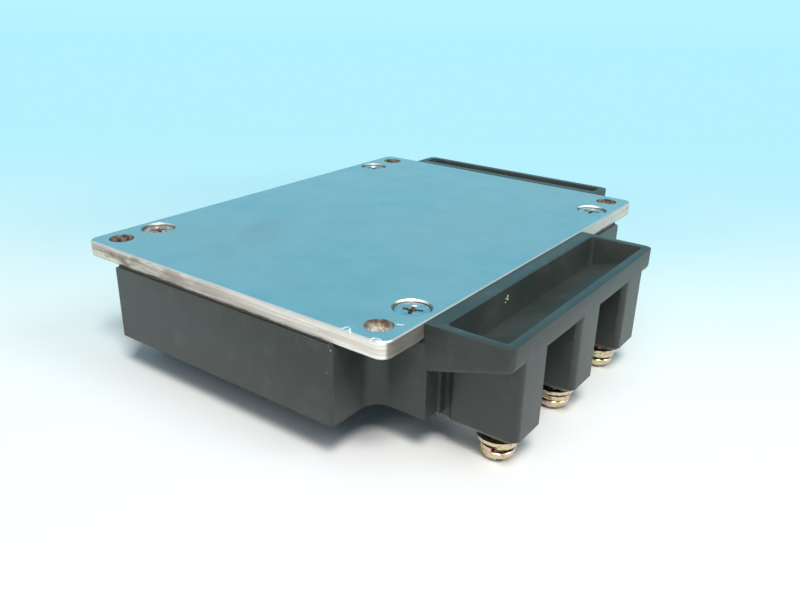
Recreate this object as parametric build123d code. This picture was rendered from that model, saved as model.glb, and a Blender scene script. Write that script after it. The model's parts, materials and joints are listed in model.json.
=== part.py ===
from build123d import *
import os

os.makedirs("parts", exist_ok=True)

# Power module lying on its terminal screws with the base plate up.
# The origin is the middle of the plate's exposed face and +Z points out of it.
# Every "depth" is measured down from that face. The output side is -Y, the supply side +X.

# Base plate, with its bolt holes this far from its edges
plate_x = 116.0
plate_t = 3.6
plate_corner_r = 2.5
plate_edge_break = 0.25
mount_edge = 5.5
mount_hole_r = 2.75

# Room that the case leaves around the bolts' heads
bolt_room_x = 6.3
bolt_room_y = 5.7
bolt_room_corner_r = 4.0

# Countersunk screws between plate and case
case_screw_inset = 4.0
case_screw_r = 2.0
case_screw_length = 12.0
countersink_r = 4.1
head_sink = 0.5
screw_hole_gap = 0.2
thread_gap = 0.02
pilot_room = 1.0
cross_arm = 4.2
cross_width = 0.9
cross_depth = 1.6

# Case walls
case_lip = 1.0
wall = 3.4
boss_reach = 4.7
case_edge_r = 0.7
case_top_break = 0.9

# Lid on the hidden side
lid_t = 2.4
lid_ledge = 1.0
lid_corner_r = 1.5
lid_gap = 0.15
lid_clearance = 0.7

# Adhesive squeezed out at the joint between plate and case
bead_width = 0.85
bead_height = 0.8
bead_toe = 0.25

# Terminal trays: hollow on the plate's side, with an underside that slopes up to the front
tray_drop = 0.3
tray_plate_gap = 0.2
tray_root_depth = 10.4
tray_slope = 0.30
tray_rim = 2.0
tray_back_rim = 3.4
tray_floor_t = 1.9
tray_corner_r = 2.0
tray_lower_r = 1.6
pocket_corner_r = 1.0
output_reach = 17.2
supply_reach = 9.0

# Pillars under the trays
pillar_width = 10.2
pillar_edge_r = 1.4
seat_proud = 1.0
neck_inset = 0.7
neck_length = 1.8
pad_side = 1.0
pad_proud = 0.8
output_setback = 6.3

# Bent terminal strips
strip_width = 8.0
run_width = 6.0
run_gap = 0.95
strip_t = 1.2
strip_bend_r = 0.9
strip_end_gap = 1.0
strip_end_r = 2.0
strip_hole_gap = 0.25
leg_inset = 1.2
bar_gap = 0.5
run_separation = 1.5
foot_length = 4.0

# Terminal screw, nut and washers, loosened so that they hang on the head
thread_r = 2.0
shank_length = 12.0
loosened = 1.0
head_r = 3.5
head_height = 2.3
head_rim = 0.9
head_crown_r = 2.3
slot_width = 1.1
slot_depth = 1.1
slot_angle = 35.0
slot_step = 50.0
flat_washer_r = 4.4
flat_washer_t = 0.8
washer_bore_gap = 0.15
spring_r = 3.7
spring_width = 1.6
spring_t = 1.0
spring_split = 15.0
spring_angle = 187.0
spring_step = 130.0
nut_across_flats = 7.0
nut_t = 3.2
nut_gap = 0.1
nut_to_leg = 0.4
tip_room = 1.0

# Chips and the ribbons bonded to them
igbt_x = 7.0
igbt_y = 6.0
diode_size = 5.0
chip_t = 0.3
chip_margin = 0.2
chip_spacing = 3.0
diode_margin = 2.4
ribbon_width = 1.6
ribbon_t = 0.2
ribbon_rise = 1.1
ribbon_foot = 1.0
ribbon_inset = 0.3

# Substrate stack of one phase, from the plate outwards
solder_t = 0.2
back_t = 0.3
ceramic_t = 0.7
track_t = 0.3
back_margin = 0.5
solder_margin = 0.7
track_margin = 1.0
track_gap = 1.0
gate_pad = 2.4
gate_shift = 1.8
tile_gap = 1.7
tile_room = 3.4

# Room along the copper islands beside the chips
supply_margin = 2.0
supply_foot_gap = 1.4
output_foot_gap = 1.8
output_landing = 1.8
return_landing = 7.0

# Board with its parts
board_t = 1.6
board_gap = 0.3
board_clearance = 2.9
board_edge = 3.2
board_overhang = 8.0
board_ledge = 3.0
driver_x = 7.5
driver_y = 10.3
driver_t = 1.8
resistor_x = 3.2
resistor_y = 1.6
resistor_t = 0.6
capacitor_x = 4.5
capacitor_y = 3.2
capacitor_t = 1.7
side_part_gap = 0.8
row_part_gap = 2.75
link_pin = 0.8
link_stub = 0.6
pin_hole_gap = 0.1

# Control pins on the hidden long side
pin_counts = (3, 3, 3, 6)
pin_pitch = 2.54
pin_group_gap = 7.62
pin_size = 0.64
pin_stub = 0.5
header_width = 5.0
header_end = 1.2
header_proud = 1.5
header_gap = 0.2
header_room = 0.6

# Depths, from the plate's face to the screw heads
solder_end = plate_t + solder_t
back_end = solder_end + back_t
ceramic_end = back_end + ceramic_t
track_depth = ceramic_end + track_t
chip_depth = track_depth + chip_t
supply_run_depth = chip_depth + ribbon_rise + ribbon_t + bar_gap + strip_t / 2
output_run_depth = supply_run_depth + strip_t + run_separation
board_depth = output_run_depth + strip_t / 2 + board_clearance
board_end = board_depth + board_t
lid_depth = board_end + max(driver_t, resistor_t, capacitor_t) + lid_clearance
case_depth = lid_depth + lid_t
seat_depth = case_depth + seat_proud
strip_depth = seat_depth + strip_t
flat_top_depth = strip_depth + loosened
spring_top_depth = flat_top_depth + flat_washer_t
head_top_depth = spring_top_depth + 2 * spring_t
rest_depth = head_top_depth + head_height

# Substrate of one phase: islands, rows of chips and feet, counted from its middle
track_x = (diode_margin + diode_size + chip_spacing + igbt_x + chip_margin + track_gap + gate_pad) / 2
positive_length = track_margin + igbt_y + supply_foot_gap + run_width + supply_margin
output_length = track_margin + igbt_y + output_foot_gap + foot_length + output_landing
return_length = return_landing + run_width + supply_margin
track_y = (positive_length + output_length + return_length) / 2 + track_gap
tile_x = 2 * (track_x + track_margin)
tile_y = 2 * (track_y + track_margin)
positive_start = track_y - positive_length
output_end = positive_start - track_gap
output_start = output_end - output_length
return_end = output_start - track_gap
island_x = track_x - gate_pad - track_gap
upper_row = positive_start + track_margin + igbt_y / 2
lower_row = output_start + track_margin + igbt_y / 2
chip_rows = (upper_row, lower_row)
igbt_at = island_x - chip_margin - igbt_x / 2
diode_at = diode_margin - track_x + diode_size / 2
output_foot_y = lower_row + igbt_y / 2 + output_foot_gap
supply_offset = track_y - supply_margin - run_width / 2

# Plan of the case and plate around the three substrates
cavity_y = tile_y / 2 + tile_room
recess_y = cavity_y + wall
mount_y = recess_y + bolt_room_y
mount_x = plate_x / 2 - mount_edge
recess_x = mount_x - bolt_room_x
screw_x = recess_x - case_screw_inset
cavity_x = screw_x - boss_reach
plate_y = 2 * (mount_y + mount_edge)
case_x = plate_x / 2 + case_lip
case_y = plate_y / 2 + case_lip
inner_x = case_x - wall
inner_y = case_y - wall
first_output = case_screw_r + run_gap + run_width / 2 - screw_x
output_places = [first_output + k * (tile_x + tile_gap) for k in range(3)]
output_middle = output_places[1]
output_tray_width = 2 * (recess_x + output_middle)
output_axis = case_y + output_reach - output_setback
supply_standoff = nut_across_flats / 2 + nut_gap + nut_to_leg + strip_t / 2 - leg_inset
supply_setback = supply_reach - supply_standoff
supply_axis = case_x + supply_standoff
pin_row_y = inner_y - board_ledge - header_room - header_width / 2
board_front = return_end - link_pin - board_edge
board_right = output_places[2] + tile_x / 2 + board_overhang
part_row = (board_front + cavity_y) / 2
corners = [(sx, sy) for sx in (-1, 1) for sy in (-1, 1)]
screw_points = [(x, -output_axis) for x in output_places]
screw_points += [(supply_axis, side * supply_offset) for side in (1, -1)]
output_spots = [Pos(x, -output_axis) * Rot(0, 0, -90) for x in output_places]
supply_spots = [Pos(supply_axis, side * supply_offset) for side in (1, -1)]
terminal_spots = output_spots + supply_spots


def save(shape, node):
    export_step(shape, f"parts/{node}.step")


def block(x0, x1, y0, y1, depth0, depth1):
    size = Box(x1 - x0, y1 - y0, depth1 - depth0)
    return Pos((x0 + x1) / 2, (y0 + y1) / 2, -(depth0 + depth1) / 2) * size


def rod(radius, depth0, depth1, x=0.0, y=0.0):
    return Pos(x, y, -(depth0 + depth1) / 2) * Cylinder(radius, depth1 - depth0)


def prism(face, depth0, depth1):
    return Pos(0, 0, -depth1) * extrude(face, depth1 - depth0)


def turned(points):
    outline = make_face(Plane.XZ * Polyline(*points, close=True))
    return revolve(outline, Axis.Z)


def near(value, target):
    return abs(value - target) < 0.01


# Cross recess between two depths
def cross_recess(depth0, depth1):
    return prism(Rectangle(cross_arm, cross_width) + Rectangle(cross_width, cross_arm), depth0, depth1)


# Strip bent in its own XZ plane, +X outwards, from a list of (x, depth) points on its middle
def bent_strip(points, width):
    path = FilletPolyline(*[(x, 0, -depth) for x, depth in points], radius=strip_bend_r)
    start = Plane(origin=path @ 0, x_dir=(0, 1, 0), z_dir=path % 0)
    return sweep(start * Rectangle(width, strip_t), path=path)


def base_plate():
    outline = RectangleRounded(plate_x, plate_y, plate_corner_r)
    plate = prism(outline, 0, plate_t)
    rims = plate.faces().filter_by(Axis.Z).edges()
    plate = chamfer(rims, plate_edge_break)
    for sx, sy in corners:
        plate -= rod(mount_hole_r, 0, plate_t, sx * mount_x, sy * mount_y)
        plate -= Pos(sx * screw_x, sy * mount_y) * countersink()
    return plate


def countersink():
    hole_r = case_screw_r + screw_hole_gap
    cone_depth = countersink_r - hole_r
    points = [(0, 0), (countersink_r, 0), (hole_r, -cone_depth), (hole_r, -plate_t), (0, -plate_t)]
    return turned(points)


def case_screw():
    head = countersink_r - head_sink
    cone_end = head_sink + head - case_screw_r
    tip = head_sink + case_screw_length
    points = [(0, -head_sink), (head, -head_sink), (case_screw_r, -cone_end), (case_screw_r, -tip), (0, -tip)]
    return turned(points) - cross_recess(head_sink, head_sink + cross_depth)


def case_outline():
    face = Rectangle(2 * case_x, 2 * case_y)
    room_x = case_x - recess_x
    room_y = case_y - recess_y
    for sx, sy in corners:
        face -= Pos(sx * (case_x - room_x / 2), sy * (case_y - room_y / 2)) * Rectangle(room_x, room_y)
    inner = [v for v in face.vertices() if near(abs(v.X), recess_x) and near(abs(v.Y), recess_y)]
    return fillet(inner, bolt_room_corner_r)


# The walls of the bolt recesses lose their edge under the plate
def case_block():
    body = prism(case_outline(), plate_t, case_depth)
    centres = [(e, e.center()) for e in body.edges()]
    recess_edges = [
        e for e, c in centres
        if near(c.Z, -plate_t) and abs(c.X) > recess_x - 0.01 and abs(c.Y) > recess_y - 0.01
        and not near(abs(c.X), case_x) and not near(abs(c.Y), case_y)
    ]
    body = chamfer(recess_edges, case_top_break)
    ends = [e for e in body.edges().filter_by(Axis.Z) if near(e.center().X, -case_x)]
    return fillet(ends, case_edge_r)


# Inside of the case: two crossing rectangles that leave bosses for the corner screws
def cavity_outline(grow):
    long_part = Rectangle(2 * (inner_x + grow), 2 * (cavity_y + grow))
    wide_part = Rectangle(2 * (cavity_x + grow), 2 * (inner_y + grow))
    return long_part + wide_part


def lid_outline(grow):
    outline = cavity_outline(grow)
    return fillet(outline.vertices(), lid_corner_r)


def underside_depth(out):
    return tray_root_depth - tray_slope * out


# Tray in its own frame: +X outwards from the case's outer face, width along Y
def tray_solid(reach, width):
    inner = tray_plate_gap - case_lip
    points = [
        (inner, -tray_drop), (reach, -tray_drop),
        (reach, -underside_depth(reach)), (0, -tray_root_depth), (inner, -tray_root_depth),
    ]
    side = make_face(Plane.XZ * Polyline(*points, close=True))
    tray = extrude(side, width / 2, both=True)
    uprights = [e for e in tray.edges().filter_by(Axis.Z) if near(e.center().X, reach)]
    tray = fillet(uprights, tray_corner_r)
    front = [e for e in tray.edges() if near(e.center().Z, -underside_depth(reach))]
    return fillet([e for e in front if e.center().X > reach - tray_corner_r - 0.01], tray_lower_r)


def tray_pocket(reach, width):
    inner = tray_plate_gap - case_lip + tray_back_rim
    outer = reach - tray_rim
    points = [
        (inner, 0), (outer, 0),
        (outer, tray_floor_t - underside_depth(outer)), (inner, tray_floor_t - underside_depth(inner)),
    ]
    side = make_face(Plane.XZ * Polyline(*points, close=True))
    pocket = extrude(side, width / 2 - tray_rim, both=True)
    return fillet(pocket.edges().filter_by(Axis.Z), pocket_corner_r)


# Pillar in the screw's frame: the screw stands at X = 0, and +X is outwards
def pillar(reach, setback, neck):
    neck_width = pillar_width - 2 * neck_inset
    face_at = setback - reach
    rear = face_at + neck
    body = block(rear, setback, -pillar_width / 2, pillar_width / 2, tray_drop + tray_rim, seat_depth)
    body = fillet(body.edges().filter_by(Axis.Z), pillar_edge_r)
    seat_end = face_at - leg_inset - strip_t
    seat = block(seat_end, setback - pillar_edge_r, -neck_width / 2, neck_width / 2, case_depth, seat_depth)
    body += seat
    if neck > 0:
        root = tray_root_depth - tray_rim
        half = pillar_width / 2 + pad_side
        neck_end = rear + pillar_edge_r
        body += block(face_at - pad_proud, neck_end, -neck_width / 2, neck_width / 2, root, seat_depth)
        body += block(face_at - pad_proud, face_at + pad_proud, -half, half, root, case_depth)
    return body


def hexagon(flat_to_middle):
    return RegularPolygon(flat_to_middle, 6, major_radius=False, rotation=30)


# What is cut from a pillar: the nut's pocket and the room for the screw's tip
def nut_room():
    tip_depth = head_top_depth - shank_length - tip_room
    pocket = prism(hexagon(nut_across_flats / 2 + nut_gap), seat_depth - nut_t, seat_depth)
    return pocket + prism(hexagon(thread_r + washer_bore_gap), tip_depth, seat_depth)


def terminal_nut():
    nut = prism(hexagon(nut_across_flats / 2), seat_depth - nut_t, seat_depth)
    return nut - rod(thread_r, seat_depth - nut_t, seat_depth)


# Strip from its seat under the screw, through the wall, to the foot at foot_at.
# Inside the wall it steps down to the narrower run.
def terminal_strip(reach, setback, run_depth, foot_at):
    leg_at = setback - reach - leg_inset
    outside = seat_depth + strip_t / 2
    inside = track_depth + strip_t / 2
    step = (leg_at, (outside + run_depth) / 2)
    seat = [(setback - strip_end_gap, outside), (leg_at, outside), step]
    foot_end = foot_at - foot_length
    run = [step, (leg_at, run_depth), (foot_at, run_depth), (foot_at, inside), (foot_end, inside)]
    strip = bent_strip(seat, strip_width) + bent_strip(run, run_width)
    end_corners = [e for e in strip.edges().filter_by(Axis.Z) if near(e.center().X, setback - strip_end_gap)]
    strip = fillet(end_corners, strip_end_r)
    return strip - rod(thread_r + strip_hole_gap, seat_depth - strip_t, strip_depth + strip_t)


def output_strip():
    return terminal_strip(output_reach, output_setback, output_run_depth, -output_axis - output_foot_y)


# Supply bar with one foot on each phase
def supply_bar():
    feet = [x + foot_length / 2 - supply_axis for x in output_places]
    bar = terminal_strip(supply_reach, supply_setback, supply_run_depth, feet[0])
    inside = track_depth + strip_t / 2
    for foot in feet[1:]:
        points = [(foot, supply_run_depth), (foot, inside), (foot - foot_length, inside)]
        bar += bent_strip(points, run_width)
    return bar


def terminal_screw():
    shank_r = thread_r - thread_gap
    points = [
        (0, shank_length - head_top_depth), (shank_r, shank_length - head_top_depth),
        (shank_r, -head_top_depth), (head_r, -head_top_depth),
        (head_r, -head_top_depth - head_rim), (head_crown_r, -rest_depth), (0, -rest_depth),
    ]
    slot = block(-head_r, head_r, -slot_width / 2, slot_width / 2, rest_depth - slot_depth, rest_depth)
    return turned(points) - slot - cross_recess(rest_depth - cross_depth, rest_depth)


def flat_washer():
    ring = rod(flat_washer_r, flat_top_depth, spring_top_depth)
    return ring - rod(thread_r + washer_bore_gap, flat_top_depth, spring_top_depth)


# Split ring coiled through one turn, left-handed, whose ends stand one thickness apart
def spring_washer():
    turn = (360 - spring_split) / 360
    coil = Helix(spring_t / turn, spring_t, spring_r - spring_width / 2, lefthand=True)
    start = Plane(origin=coil @ 0, x_dir=(1, 0, 0), z_dir=coil % 0)
    ring = sweep(start * Rectangle(spring_width, spring_t), path=coil, is_frenet=True)
    return Pos(0, 0, spring_t / 2 - head_top_depth) * ring


def case_frame(strips):
    body = case_block()
    body -= prism(cavity_outline(0), plate_t, case_depth)
    body -= prism(lid_outline(lid_ledge), lid_depth, case_depth)
    body += board_ledges()
    output_face = Pos(output_middle, -case_y) * Rot(0, 0, -90)
    supply_face = Pos(case_x, 0)
    body += output_face * tray_solid(output_reach, output_tray_width)
    body += supply_face * tray_solid(supply_reach, 2 * recess_y)
    for spot in output_spots:
        body += spot * pillar(output_reach, output_setback, neck_length)
    for spot in supply_spots:
        body += spot * pillar(supply_reach, supply_setback, 0)
    body -= output_face * tray_pocket(output_reach, output_tray_width)
    body -= supply_face * tray_pocket(supply_reach, 2 * recess_y)
    for spot in terminal_spots:
        body -= spot * nut_room()
    for sx, sy in corners:
        hole_end = head_sink + case_screw_length + pilot_room
        body -= rod(case_screw_r + thread_gap, plate_t, hole_end, sx * screw_x, sy * mount_y)
    for strip in strips:
        body -= strip
    return body


# Ledges inside the case that carry the board on its two outer edges
def board_ledges():
    back = block(-cavity_x, cavity_x, inner_y - board_ledge, inner_y + wall / 2, plate_t, board_depth)
    side = block(-inner_x - wall / 2, board_ledge - inner_x, board_front, cavity_y, plate_t, board_depth)
    return back + side


def case_lid():
    lid = prism(lid_outline(lid_ledge - lid_gap), lid_depth, case_depth)
    for x, count in header_places():
        half = header_length(count) / 2 + header_gap
        deep = header_width / 2 + header_gap
        lid -= block(x - half, x + half, pin_row_y - deep, pin_row_y + deep, lid_depth, case_depth)
    return lid


# One dark bead for each stretch where the case's lip shows beside the plate
def seal_beads():
    rise = bead_height - plate_t
    points = [(0, -plate_t), (bead_width, -plate_t), (bead_width, bead_toe - plate_t), (0, rise)]
    side = make_face(Plane.XZ * Polyline(*points, close=True))
    end_y = recess_y - case_top_break
    end_x = recess_x - case_top_break
    tray_end = output_middle + output_tray_width / 2 + tray_plate_gap
    left = Pos(-plate_x / 2, 0) * Rot(0, 0, 180) * extrude(side, end_y, both=True)
    back = Pos(0, plate_y / 2) * Rot(0, 0, 90) * extrude(side, end_x, both=True)
    front = extrude(side, (end_x - tray_end) / 2, both=True)
    front = Pos((end_x + tray_end) / 2, -plate_y / 2) * Rot(0, 0, -90) * front
    return [left, back, front]


# One layer of the substrates, set in from the ceramic tile by a margin
def layer(margin, depth0, depth1):
    half_x = tile_x / 2 - margin
    half_y = tile_y / 2 - margin
    return [block(x - half_x, x + half_x, -half_y, half_y, depth0, depth1) for x in output_places]


# Copper islands of one phase: supply, output, return and two gate pads
def track_islands():
    islands = [
        (-track_x, island_x, positive_start, track_y),
        (-track_x, island_x, output_start, output_end),
        (-track_x, track_x, -track_y, return_end),
    ]
    for row in chip_rows:
        middle = row + gate_shift
        islands.append((track_x - gate_pad, track_x, middle - gate_pad / 2, middle + gate_pad / 2))
    return islands


def substrate_tracks():
    return [
        block(x + x0, x + x1, y0, y1, ceramic_end, track_depth)
        for x in output_places
        for x0, x1, y0, y1 in track_islands()
    ]


def chips(size_x, size_y, at):
    return [
        block(x + at - size_x / 2, x + at + size_x / 2, row - size_y / 2, row + size_y / 2,
              track_depth, chip_depth)
        for x in output_places
        for row in chip_rows
    ]


# Flat ribbon in its own XZ plane: from the chip's top at X = 0 down to the track at X = span
def ribbon(span):
    top = -chip_depth
    low = -track_depth
    crest = top - ribbon_rise
    ramp = (span - ribbon_foot) / 3
    upper = [
        (-ribbon_foot, top), (0, top), (ramp, crest),
        (2 * ramp, crest), (span - ribbon_foot, low), (span, low),
    ]
    lower = [(x, z - ribbon_t) for x, z in reversed(upper)]
    side = make_face(Plane.XZ * Polyline(*upper, *lower, close=True))
    return extrude(side, ribbon_width / 2, both=True)


# A ribbon from each chip to the next island, and one from each transistor to its gate pad
def bond_ribbons():
    ribbons = []
    gate_start = igbt_at + igbt_x / 2 - ribbon_foot / 2
    gate_end = track_x - gate_pad + ribbon_foot
    for x in output_places:
        for row, edge in zip(chip_rows, (output_end, return_end)):
            ribbons.append(Pos(x + gate_start, row + gate_shift) * ribbon(gate_end - gate_start))
            for at in (igbt_at, diode_at):
                spot = Pos(x + at, row) * Rot(0, 0, -90)
                ribbons.append(spot * ribbon(row - edge + ribbon_foot + ribbon_inset))
    return ribbons


def link_spots():
    gates = [(track_x - link_pin, row + gate_shift) for row in chip_rows]
    emitters = [(link_pin - track_x, edge - link_pin) for edge in (output_end, return_end)]
    return [(x + dx, y) for x in output_places for dx, y in gates + emitters]


def link_pins():
    half = link_pin / 2
    return [
        block(x - half, x + half, y - half, y + half, track_depth, board_end + link_stub)
        for x, y in link_spots()
    ]


def header_places():
    places = []
    spans = [(count - 1) * pin_pitch for count in pin_counts]
    start = -(sum(spans) + pin_group_gap * (len(pin_counts) - 1)) / 2
    for count, span in zip(pin_counts, spans):
        places.append((start + span / 2, count))
        start += span + pin_group_gap
    return places


def header_length(count):
    return (count - 1) * pin_pitch + 2 * header_end


def pin_places():
    return [
        x + (k - (count - 1) / 2) * pin_pitch
        for x, count in header_places()
        for k in range(count)
    ]


def gate_board():
    long_x = inner_x - board_gap
    wide_x = cavity_x - board_gap
    board = block(-long_x, board_right, board_front, cavity_y - board_gap, board_depth, board_end)
    board += block(-wide_x, wide_x, 0, inner_y - board_gap, board_depth, board_end)
    holes = [(x, y, link_pin / 2 + pin_hole_gap) for x, y in link_spots()]
    holes += [(x, pin_row_y, pin_size / 2 + pin_hole_gap) for x in pin_places()]
    for x, y, half in holes:
        board -= block(x - half, x + half, y - half, y + half, board_depth, board_end)
    return board


def on_board(size_x, size_y, thick, spots):
    return [
        block(x - size_x / 2, x + size_x / 2, y - size_y / 2, y + size_y / 2, board_end, board_end + thick)
        for x, y in spots
    ]


def pin_headers():
    headers = []
    front = pin_row_y - header_width / 2
    back = pin_row_y + header_width / 2
    half = pin_size / 2
    end = case_depth + header_proud
    for middle, count in header_places():
        half_x = header_length(count) / 2
        header = block(middle - half_x, middle + half_x, front, back, board_end, end)
        for x in pin_places():
            header -= block(x - half, x + half, pin_row_y - half, pin_row_y + half, board_end, end)
        headers.append(header)
    return headers


def control_pins():
    half = pin_size / 2
    return [
        block(x - half, x + half, pin_row_y - half, pin_row_y + half, board_depth - pin_stub, rest_depth)
        for x in pin_places()
    ]


def group(solids):
    return Compound(children=list(solids))


def around(points, angle, step, solid):
    return [Pos(x, y) * Rot(0, 0, angle + k * step) * solid for k, (x, y) in enumerate(points)]


output_strips = [spot * output_strip() for spot in output_spots]
positive, negative = [spot * supply_bar() for spot in supply_spots]
driver_shift = (capacitor_y + driver_y) / 2 + row_part_gap
driver_spots = [(x, part_row + side * driver_shift) for x in output_places for side in (1, -1)]
resistor_shift = (driver_x + resistor_x) / 2 + side_part_gap
resistor_spots = [(x + resistor_shift, y) for x, y in driver_spots]
capacitor_spots = [(x, part_row) for x in output_places]

save(base_plate(), "base_plate")
save(case_frame(output_strips + [positive, negative]), "case_frame")
save(case_lid(), "case_lid")
save(group(seal_beads()), "seal_bead")
save(group([Pos(sx * screw_x, sy * mount_y) * case_screw() for sx, sy in corners]), "case_screws")
save(group(output_strips), "output_terminals")
save(positive, "positive_terminal")
save(negative, "negative_terminal")
save(group([spot * terminal_nut() for spot in terminal_spots]), "terminal_nuts")
save(group(around(screw_points, slot_angle, slot_step, terminal_screw())), "terminal_screws")
save(group(around(screw_points, spring_angle, spring_step, spring_washer())), "spring_washers")
save(group(around(screw_points, 0, 0, flat_washer())), "flat_washers")
save(group(layer(solder_margin, plate_t, solder_end)), "substrate_solder")
save(group(layer(back_margin, solder_end, back_end)), "substrate_backs")
save(group(layer(0, back_end, ceramic_end)), "substrate_ceramics")
save(group(substrate_tracks()), "substrate_tracks")
save(group(chips(igbt_x, igbt_y, igbt_at)), "igbt_chips")
save(group(chips(diode_size, diode_size, diode_at)), "diode_chips")
save(group(bond_ribbons()), "bond_ribbons")
save(gate_board(), "gate_board")
save(group(on_board(driver_x, driver_y, driver_t, driver_spots)), "driver_chips")
save(group(on_board(resistor_x, resistor_y, resistor_t, resistor_spots)), "gate_resistors")
save(group(on_board(capacitor_x, capacitor_y, capacitor_t, capacitor_spots)), "buffer_capacitors")
save(group(link_pins()), "link_pins")
save(group(pin_headers()), "pin_headers")
save(group(control_pins()), "control_pins")
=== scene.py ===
import json
import math

import bmesh
import bpy
from mathutils import Matrix, Vector, noise


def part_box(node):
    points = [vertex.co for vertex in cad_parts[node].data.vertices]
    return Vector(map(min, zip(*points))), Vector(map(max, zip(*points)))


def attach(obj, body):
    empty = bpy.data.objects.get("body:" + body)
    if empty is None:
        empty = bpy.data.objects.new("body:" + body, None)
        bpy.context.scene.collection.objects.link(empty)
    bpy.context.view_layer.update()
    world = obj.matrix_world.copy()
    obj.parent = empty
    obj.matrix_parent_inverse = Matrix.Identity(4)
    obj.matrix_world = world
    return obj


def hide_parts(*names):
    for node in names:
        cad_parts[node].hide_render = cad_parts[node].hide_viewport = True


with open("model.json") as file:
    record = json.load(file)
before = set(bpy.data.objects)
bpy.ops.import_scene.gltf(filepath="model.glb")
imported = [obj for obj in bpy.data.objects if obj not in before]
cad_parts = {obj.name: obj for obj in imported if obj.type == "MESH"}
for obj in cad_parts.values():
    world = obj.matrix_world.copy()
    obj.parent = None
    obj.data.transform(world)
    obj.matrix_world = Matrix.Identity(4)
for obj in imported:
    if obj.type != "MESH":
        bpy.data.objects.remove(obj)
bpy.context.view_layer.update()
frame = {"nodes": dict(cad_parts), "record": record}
nodes = frame["nodes"]
scene = bpy.context.scene
mm = 0.001
print("frame loaded:", len(nodes), "CAD nodes")

plateLow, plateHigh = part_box("base_plate")
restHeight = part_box("terminal_screws")[0].z
mounts = {m["name"]: m for m in frame["record"]["mounts"]}
terminalNames = ["output_terminal_1", "output_terminal_2", "output_terminal_3",
                 "positive_terminal", "negative_terminal"]
terminalAxes = [Vector(mounts[name]["pos_m"]) for name in terminalNames]

caseScrewHead = 3.6  # radius of the countersunk heads, mm
caseScrewSink = 0.5  # depth of their faces below the plate's face, mm
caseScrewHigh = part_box("case_screws")[1]
caseScrewX = caseScrewHigh.x - caseScrewHead * mm
caseScrewY = caseScrewHigh.y - caseScrewHead * mm

noiseSpan = (0.3, 0.7)  # values between which nearly all of a noise lies


# Small helpers for node trees

def addNode(tree, kind, inputs=None, **settings):
    made = tree.nodes.new(kind)
    for name, value in settings.items():
        setattr(made, name, value)
    for key, value in (inputs or {}).items():
        if isinstance(value, bpy.types.NodeSocket):
            tree.links.new(value, made.inputs[key])
        else:
            made.inputs[key].default_value = value
    return made


# One Math node for each further value, as in a + b + c
def calc(tree, operation, first, *others, clamp=False):
    for other in others or (0.0,):
        inputs = {0: first, 1: other}
        first = addNode(tree, "ShaderNodeMath", inputs, operation=operation, use_clamp=clamp).outputs[0]
    return first


# Smooth step from start to end; it runs backwards where low is the higher value
def band(tree, value, low, high, start=0.0, end=1.0):
    inputs = {"Value": value, "From Min": low, "From Max": high, "To Min": start, "To Max": end}
    return addNode(tree, "ShaderNodeMapRange", inputs, interpolation_type="SMOOTHSTEP").outputs[0]


# The same over a span in millimetres
def slide(tree, length, span, start=0.0, end=1.0):
    return band(tree, length, span[0] * mm, span[1] * mm, start, end)


def blendColours(tree, share, first, second, way="MIX"):
    made = addNode(tree, "ShaderNodeMix", data_type="RGBA", blend_type=way)
    for key, value in ((0, share), (6, first), (7, second)):
        if isinstance(value, bpy.types.NodeSocket):
            tree.links.new(value, made.inputs[key])
        elif key == 0:
            made.inputs[key].default_value = value
        else:
            made.inputs[key].default_value = (*value, 1)
    return made.outputs[2]


# Noise whose size is a length in millimetres, stretched along the axes and turned about Z
def grain(tree, place, size, detail=2.0, roughness=0.5, stretch=(1, 1, 1), turn=0.0):
    if stretch != (1, 1, 1) or turn:
        settings = {"Vector": place, "Rotation": (0, 0, turn), "Scale": tuple(1 / s for s in stretch)}
        place = addNode(tree, "ShaderNodeMapping", settings).outputs[0]
    inputs = {"Vector": place, "Scale": 1 / (size * mm), "Detail": detail, "Roughness": roughness}
    return addNode(tree, "ShaderNodeTexNoise", inputs).outputs["Fac"]


# Noise colours turned into a shift to any side, of up to half the reach
def sway(tree, colours, reach):
    inputs = {0: colours, 1: (0.5, 0.5, 0.5)}
    centred = addNode(tree, "ShaderNodeVectorMath", inputs, operation="SUBTRACT").outputs[0]
    return addNode(tree, "ShaderNodeVectorMath", {0: centred, "Scale": reach}, operation="SCALE").outputs[0]


# 1 inside an ellipse, 0 outside it; the centre and the half lengths are in millimetres
def patch(tree, place, centre, halves, turn=0.0, softness=0.6):
    settings = {
        "Vector": place, "Location": (centre[0] * mm, centre[1] * mm, 0),
        "Rotation": (0, 0, turn), "Scale": (halves[0] * mm, halves[1] * mm, 1),
    }
    local = addNode(tree, "ShaderNodeMapping", settings, vector_type="TEXTURE").outputs[0]
    far = addNode(tree, "ShaderNodeVectorMath", {0: local}, operation="LENGTH").outputs["Value"]
    return band(tree, far, 1.0, 1.0 - softness)


# Strokes given by middle x, y, half length, half width and turn in degrees
def strokes(tree, place, rows, softness):
    return calc(tree, "MAXIMUM", *(
        patch(tree, place, (x, y), (halfLong, halfWide), math.radians(turn), softness)
        for x, y, halfLong, halfWide, turn in rows))


def split(tree, vector):
    return addNode(tree, "ShaderNodeSeparateXYZ", {0: vector}).outputs


# Distance from the nearest of four upright axes, one in each quarter of the plate
def fromCorners(tree, x, y, axisX, axisY):
    awayX = calc(tree, "SUBTRACT", calc(tree, "ABSOLUTE", x), axisX)
    awayY = calc(tree, "SUBTRACT", calc(tree, "ABSOLUTE", y), axisY)
    squares = calc(tree, "ADD", calc(tree, "MULTIPLY", awayX, awayX), calc(tree, "MULTIPLY", awayY, awayY))
    return calc(tree, "SQRT", squares)


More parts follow.
